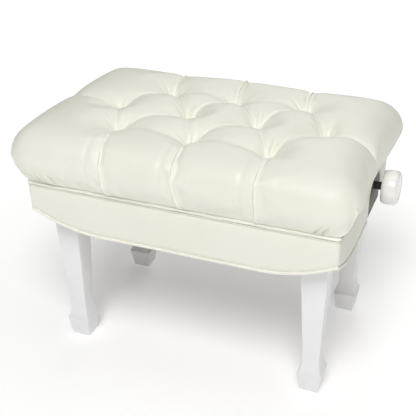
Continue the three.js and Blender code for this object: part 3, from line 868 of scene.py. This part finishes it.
cushion = piece(build_cushion(), "seat", IVORY, "ivory_leather", "leather_cover", "foam_core")


# ---------- skirt ----------
SKIRT_CORNER = 4.5 * MM            # plan radius of the skirt's corners
NOTCH_HALF = 55 * MM
NOTCH_STRAIGHT = 300 * MM
NOTCH_TOP = 340 * MM
SCALLOP_RISE = 34 * MM
SCALLOP_START_X = 150 * MM
SCALLOP_START_Y = 60 * MM


def scallop(place, start, end):
    return SKIRT_LOW + SCALLOP_RISE * np.maximum(0, (np.abs(place) - start) / (end - start)) ** 2


def skirt_edge(x, y):
    """Height of the skirt's lower edge at a point in plan, without the notch."""
    on_side = abs(y) > SKIRT_Y - SKIRT_CORNER and abs(x) < SKIRT_X - SKIRT_CORNER
    on_end = abs(x) > SKIRT_X - SKIRT_CORNER and abs(y) < SKIRT_Y - SKIRT_CORNER
    side = scallop(x, SCALLOP_START_X, SKIRT_X)
    end = scallop(y, SCALLOP_START_Y, SKIRT_Y)
    if on_side:
        return side
    if on_end:
        return end
    turn = math.atan2(abs(y) - SKIRT_Y + SKIRT_CORNER, abs(x) - SKIRT_X + SKIRT_CORNER) / (math.pi / 2)
    return end + (side - end) * float(smoothstep(turn))


def outline(half_x, half_y, radius, spacing, extra_y=()):
    """Points round a rounded rectangle from the middle of the back, with their outward normals."""
    points = []
    normals = []
    quarter = [(1, -1, 0), (1, 1, 90), (-1, 1, 180), (-1, -1, 270)]
    for sign_x, sign_y, first in quarter:
        for k in range(9):
            turn = math.radians(first - 90 + 90 * k / 8)
            normal = np.array([math.cos(turn), math.sin(turn)])
            centre = np.array([sign_x * (half_x - radius), sign_y * (half_y - radius)])
            points.append(centre + normal * radius)
            normals.append(normal)
    full_points = []
    full_normals = []
    for i, (p, n) in enumerate(zip(points, normals)):
        q = points[(i + 1) % len(points)]
        full_points.append(p)
        full_normals.append(n)
        gap = np.linalg.norm(q - p)
        if gap < 3 * spacing:
            continue
        shares = list(np.arange(1, round(gap / spacing)) / round(gap / spacing))
        if abs(p[0] - q[0]) < 1e-9:
            shares = sorted(shares + [(y - p[1]) / (q[1] - p[1]) for y in extra_y])
        for t in shares:
            full_points.append(p + (q - p) * t)
            full_normals.append(n)
    return np.array(full_points), np.array(full_normals)


def notch_places():
    """Places along an end where the notch's edge needs a column of points."""
    arch = [SCREW_Y + NOTCH_HALF * math.cos(turn) for turn in np.linspace(0, math.pi, 25)]
    return [SCREW_Y - NOTCH_HALF - 0.3 * MM, *arch[::-1], SCREW_Y + NOTCH_HALF + 0.3 * MM]


def skirt_low_at(x, y):
    inside = abs(y - SCREW_Y) <= NOTCH_HALF + 1e-6 and abs(x) > SKIRT_X - SKIRT_CORNER
    if not inside:
        return skirt_edge(x, y)
    arch = math.sqrt(max(0, 1 - ((y - SCREW_Y) / NOTCH_HALF) ** 2))
    return NOTCH_STRAIGHT + (NOTCH_TOP - NOTCH_STRAIGHT) * arch


def build_skirt():
    plan, normals = outline(SKIRT_X, SKIRT_Y, SKIRT_CORNER, 6 * MM, notch_places())
    rows = 14
    edge_round = 1.2 * MM
    loops = []
    lows = np.array([skirt_low_at(x, y) for x, y in plan])
    for side in ("outer", "inner"):
        steps = np.linspace(0, 1, rows) if side == "outer" else np.linspace(1, 0, 4)
        for t in steps:
            z = lows + (SKIRT_TOP - lows) * t
            inset = 0.0 if side == "outer" else SKIRT_THICK
            edge = np.minimum(z - lows, SKIRT_TOP - z)
            rounding = edge_round * np.maximum(0, 1 - edge / edge_round)
            padding = 2.0 * MM * smoothstep(edge / (9 * MM)) ** 0.7 if side == "outer" else 0
            offset = inset + (rounding - padding if side == "outer" else -rounding)
            loops.append(np.column_stack([plan - normals * np.reshape(offset, (-1, 1)), z]))
    faces = ring_faces(len(loops), len(plan), closed_rings=True)
    return faced_out(mesh_object("skirt_leather", np.concatenate(loops), faces))


skirt_nodes = ["skirt_front", "skirt_back"]
skirt_nodes += [f"skirt_{end}_{half}" for end in ("left", "right") for half in ("front", "back")]
piece(build_skirt(), "seat", IVORY, "ivory_leather", *skirt_nodes)


# ---------- piping ----------
def top_piping():
    """A cord above the skirt, and the folded edge of its cover just below it."""
    plan, normals = outline(SKIRT_X + 0.8 * MM, SKIRT_Y + 0.6 * MM, SKIRT_CORNER, 5 * MM)
    z = (welt_low.z + welt_high.z) / 2
    step = np.arange(len(plan))
    wave = 0.25 * MM * np.sin(step * 0.31) + 0.15 * MM * np.sin(step * 0.73)
    cord = np.column_stack([plan, z + wave])
    flange = np.column_stack([plan + normals * 0.7 * MM, z - 4.4 * MM + 0.4 * MM * np.sin(step * 0.23 + 1)])
    return joined("piping_top", [tube(cord, WELT_RADIUS, 14, True), tube(flange, 0.9 * MM, 8, True)])


def bottom_piping(name, sign):
    """Runs along the lower edge of a long side, and in two more pieces round to the notches."""
    inset = 0.4 * MM
    drop = WELT_RADIUS * 0.2
    plan, _ = outline(SKIRT_X - inset, SKIRT_Y - inset, SKIRT_CORNER - inset, 5 * MM)
    limit = SCREW_Y + sign * (NOTCH_HALF + 1 * MM)
    kept = [(x, y) for x, y in plan if (y - limit) * sign > 0]
    angles = [math.atan2(x, y * sign) for x, y in kept]
    kept = [p for _, p in sorted(zip(angles, kept))]
    kept = [(kept[0][0], limit), *kept, (kept[-1][0], limit)]
    path = []
    for x, y in kept:
        edge = skirt_edge(x * SKIRT_X / (SKIRT_X - inset), y * SKIRT_Y / (SKIRT_Y - inset))
        path.append((x, y, edge - drop))
    long_side = [(x, y, z) for x, y, z in path if abs(y) > SKIRT_Y - SKIRT_CORNER - 1 * MM]
    for at in (0, -1):
        x, y, z = long_side[at]
        long_side[at] = (x, y, z + 1.2 * MM)
    on_end = [p for p in path if abs(p[0]) > SKIRT_X - 4 * MM]
    ends = [[(x, y, z - 1.6 * MM) for x, y, z in on_end if x * k > 0] for k in (-1, 1)]
    return joined(name, [tube(line, WELT_RADIUS, 14) for line in (long_side, *ends)])


piece(top_piping(), "seat", PIPING, "ivory_piping", "top_welt")
for side, sign in (("front", -1), ("back", 1)):
    cord = bottom_piping(f"piping_bottom_{side}", sign)
    piece(cord, "seat", PIPING, "ivory_piping", f"bottom_welt_{side}")


# ---------- legs ----------
EASE = 1.4 * MM                  # rounding of the long edges of a leg
FOOT_BOTTOM_HALF = 17.2 * MM
FOOT_WIDE_HALF = 23 * MM
FOOT_WIDE_Z = 42.8 * MM
ANKLE_HALF = 15.7 * MM
ANKLE_Z = 78 * MM
LEG_TOP_HALF = 25.6 * MM


def leg_profile(bottom, top):
    """Half widths and heights of a leg, from the foot up."""
    ends = [(FOOT_WIDE_HALF, FOOT_WIDE_Z), (18 * MM, 50 * MM), (15.6 * MM, 62 * MM), (ANKLE_HALF, ANKLE_Z)]
    cove = []
    for t in np.linspace(0, 1, 17):
        weights = ((1 - t) ** 3, 3 * t * (1 - t) ** 2, 3 * t * t * (1 - t), t ** 3)
        cove.append(tuple(sum(w * p[k] for w, p in zip(weights, ends)) for k in (0, 1)))
    flare = FOOT_WIDE_HALF - FOOT_BOTTOM_HALF
    rise = FOOT_WIDE_Z - bottom
    lower = [(FOOT_BOTTOM_HALF + flare * t, bottom + rise * t) for t in (0.04, 0.3, 0.6, 0.9, 0.97)]
    taper = LEG_TOP_HALF - ANKLE_HALF
    upper = [(ANKLE_HALF + taper * t, ANKLE_Z + (top - ANKLE_Z) * t) for t in np.linspace(0.02, 1, 16)]
    rounded = [(FOOT_BOTTOM_HALF - 1 * MM, bottom), (FOOT_BOTTOM_HALF - 0.2 * MM, bottom + 0.4 * MM)]
    return rounded + lower + cove + upper


def square_ring(half, z, centre):
    ring = []
    for sign_x, sign_y, first in ((1, 1, 0), (-1, 1, 90), (-1, -1, 180), (1, -1, 270)):
        for k in range(5):
            turn = math.radians(first + 90 * k / 4)
            x = sign_x * (half - EASE) + EASE * math.cos(turn)
            y = sign_y * (half - EASE) + EASE * math.sin(turn)
            ring.append((centre[0] + x, centre[1] + y, z))
    return ring


for corner in ("front_left", "front_right", "back_left", "back_right"):
    low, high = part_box(f"leg_{corner}")
    centre = ((low.x + high.x) / 2, (low.y + high.y) / 2)
    rings = [square_ring(half, z, centre) for half, z in leg_profile(low.z, high.z)]
    faces = capped_faces(len(rings), len(rings[0]))
    leg = mesh_object(f"leg_lacquered_{corner}", [p for ring in rings for p in ring], faces)
    leg.data.set_sharp_from_angle(angle=math.radians(40))
    piece(leg, "base", WHITE, "white_lacquer", f"leg_{corner}")


# ---------- knobs and screw ----------
def knob_profile(sign):
    """Distance from the skirt and radius: hub face, rounded barrel, outer rim and dished face."""
    inner, outer = knob_low.x, knob_high.x
    full = (knob_high.z - knob_low.z) / 2
    width = outer - inner
    points = [(inner + 1.2 * MM, SCREW_RADIUS + 0.4 * MM), (inner, SCREW_RADIUS + 1.2 * MM), (inner, 13 * MM)]
    points += [(inner + 1.5 * MM, 14.5 * MM), (inner + 1.5 * MM, full - 9 * MM), (inner, full - 7.5 * MM)]
    for t in np.linspace(0, 1, 26):
        turn = math.pi * t
        bulge = math.sin(turn) ** 0.7
        x = inner + width * (0.5 - 0.5 * math.copysign(abs(math.cos(turn)) ** 0.85, math.cos(turn)))
        points.append((x, full - 6.4 * MM * (1 - bulge)))
    points += [(outer, full - 6.4 * MM), (outer - 0.9 * MM, full - 7.6 * MM), (outer - 1.1 * MM, 9 * MM)]
    points += [(outer - 1.1 * MM, 4 * MM), (outer - 1.1 * MM, 0.5 * MM)]
    return [(sign * x, r) for x, r in points]


for end, sign in (("left", -1), ("right", 1)):
    knob = lathe(f"knob_{end}_moulded", knob_profile(sign), (0, SCREW_Y, SCREW_Z), 96)
    knob.data.set_sharp_from_angle(angle=math.radians(35))
    piece(knob, "screw", KNOB, "white_knob", f"knob_{end}")

THREAD_PITCH = 5 * MM
THREAD_DEPTH = 1.1 * MM
THREAD_HALF = 200 * MM


def build_screw():
    """A steel rod, threaded over its middle."""
    sides = 24
    steps_per_turn = 8
    half = screw_high.x
    ease = 1 * MM
    plain = list(np.linspace(-half + ease, -THREAD_HALF, 6))
    threaded = list(np.arange(-THREAD_HALF, THREAD_HALF, THREAD_PITCH / steps_per_turn))
    xs = plain + threaded[1:] + [-x for x in reversed(plain)]
    share = np.arange(sides) / sides
    turn = 2 * math.pi * share
    rings = [ring_about_x(-half, SCREW_RADIUS - ease, turn)]
    for x in xs:
        depth = 0
        if abs(x) < THREAD_HALF:
            wave = (x / THREAD_PITCH - share) % 1
            depth = THREAD_DEPTH * smoothstep(np.abs(wave - 0.5) * 3.2 - 0.3)
            depth = depth * smoothstep((THREAD_HALF - abs(x)) / (4 * MM))
        rings.append(ring_about_x(x, SCREW_RADIUS - depth, turn))
    rings.append(ring_about_x(half, SCREW_RADIUS - ease, turn))
    points = np.concatenate(rings) + np.array([0, SCREW_Y, SCREW_Z])
    return mesh_object("screw_threaded", points, capped_faces(len(rings), sides))


piece(build_screw(), "screw", BLACK, "black_steel", "drive_screw")


# ---------- screws through the mechanism rails ----------
def pan_head(place, up, radius, height):
    """Points and faces of a domed screw head with a cross recess, facing up or down."""
    segments = 32
    turn = np.arange(segments) * 2 * math.pi / segments
    cross = radius * (0.16 + 0.34 * np.abs(np.cos(2 * turn)) ** 5)
    dome = [(1, 0), (1, 0.25), (0.94, 0.6), (0.78, 0.85), (0.58, 0.97)]
    rings = [(radius * share, height * rise) for share, rise in dome]
    rings += [(cross, height * 0.98), (cross * 0.8, height * 0.45), (cross * 0.1, height * 0.4)]
    points = [
        np.column_stack([r * np.cos(turn), r * np.sin(turn), np.full(segments, up * h)]) + place
        for r, h in rings
    ]
    return np.concatenate(points), capped_faces(len(rings), segments)


RAIL_THICK = 3 * MM
SCREW_ROW_Y = 131 * MM
HEAD_RADIUS = 4.5 * MM
HEAD_HEIGHT = 2.4 * MM
for level, up, xs in (("base", 1, (-111, 111)), ("seat", -1, (-111, -37, 37, 111))):
    low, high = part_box(f"{level}_mech_rail_front")
    z = low.z + RAIL_THICK if up > 0 else high.z - RAIL_THICK
    places = [(x * MM, y, z) for x in xs for y in (-SCREW_ROW_Y, SCREW_ROW_Y)]
    parts = [pan_head(place, up, HEAD_RADIUS, HEAD_HEIGHT) for place in places]
    heads = joined(f"rail_screws_{level}", parts)
    heads.data.set_sharp_from_angle(angle=math.radians(40))
    piece(faced_out(heads), level, ZINC, "zinc_steel")


# ---------- CAD nodes that stay ----------
def finish_node(name, material, ease):
    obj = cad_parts[name]
    obj.data.materials.clear()
    obj.data.materials.append(material)
    if ease:
        bevel = obj.modifiers.new("ease", "BEVEL")
        bevel.width = ease
        bevel.segments = 2
        bevel.limit_method = "ANGLE"
        bevel.angle_limit = math.radians(40)


FINISHES = (
    ("base_rail_", WHITE, 0.8 * MM),
    ("bearing_plate_", BROWN, 0.4 * MM),
    ("screw_bush_", GREY, 0.2 * MM),
    ("batten_", BIRCH, 0.6 * MM),
    ("glide_", GREY, 0.5 * MM),
    ("corner_brace_", ZINC, 0.3 * MM),
    ("leg_bolt_", ZINC, 0.3 * MM),
    ("base_mech_rail_", BLACK, 0.3 * MM),
    ("seat_mech_rail_", BLACK, 0.3 * MM),
    ("arm_", BLACK, 0.3 * MM),
    ("centre_pin_", ZINC, 0.3 * MM),
    ("shaft_", ZINC, 0.3 * MM),
    ("drive_nut", ZINC, 0.5 * MM),
    ("thrust_collar_", ZINC, 0.4 * MM),
    ("seat_board", BIRCH, 0.8 * MM),
)
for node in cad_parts:
    for start, material, ease in FINISHES:
        if node.startswith(start):
            finish_node(node, material, ease)


# ---------- floor, light and camera ----------
def build_floor():
    half = 4.0
    corners = [(-half, -half, 0), (half, -half, 0), (half, half, 0), (-half, half, 0)]
    floor = mesh_object("floor", corners, [(0, 1, 2, 3)])
    floor.data.materials.append(plain_floor())


def aimed(name, data, place, look):
    """Puts a light or the camera at a place, looking along a direction."""
    obj = bpy.data.objects.new(name, data)
    obj.location = place
    obj.rotation_euler = look.to_track_quat("-Z", "Y").to_euler()
    bpy.context.scene.collection.objects.link(obj)
    return obj


def area_light(name, place, target, size, power):
    light = bpy.data.lights.new(name, "AREA")
    light.shape = "DISK"
    light.size = size
    light.energy = power
    aimed(name, light, place, Vector(target) - Vector(place))


WALL_LIGHT = 0.09
WALL_LOOK = 0.95


def build_world():
    """A dim, even studio whose walls look white."""
    world = bpy.data.worlds.new("studio")
    world.use_nodes = True
    nodes = world.node_tree.nodes
    background = nodes["Background"]
    background.inputs["Color"].default_value = (1, 1, 1, 1)
    strength = nodes.new("ShaderNodeMapRange")
    strength.inputs["To Min"].default_value = WALL_LIGHT
    strength.inputs["To Max"].default_value = WALL_LOOK
    links = world.node_tree.links
    links.new(nodes.new("ShaderNodeLightPath").outputs["Is Camera Ray"], strength.inputs["Value"])
    links.new(strength.outputs["Result"], background.inputs["Strength"])
    bpy.context.scene.world = world


def build_camera():
    azimuth, elevation = math.radians(20.57), math.radians(29.54)
    data = bpy.data.cameras.new("camera")
    data.lens = 67.23
    data.sensor_width = 36
    data.shift_x = -0.0769
    data.shift_y = 0.012
    level = math.cos(elevation)
    look = Vector((-math.sin(azimuth) * level, math.cos(azimuth) * level, -math.sin(elevation)))
    bpy.context.scene.camera = aimed("camera", data, (0.4945, -1.1931, 0.9797), look)


build_floor()
build_world()
area_light("key", place=(0.7, -2.5, 3.8), target=(0, 0, 0.35), size=2.2, power=133)
area_light("top", place=(0.3, 0.5, 2.8), target=(0, 0, 0.4), size=2.0, power=13)
area_light("back", place=(-0.5, 2.6, 1.7), target=(0, 0, 0.3), size=2.0, power=13)
build_camera()
bpy.context.scene.view_settings.view_transform = "Standard"
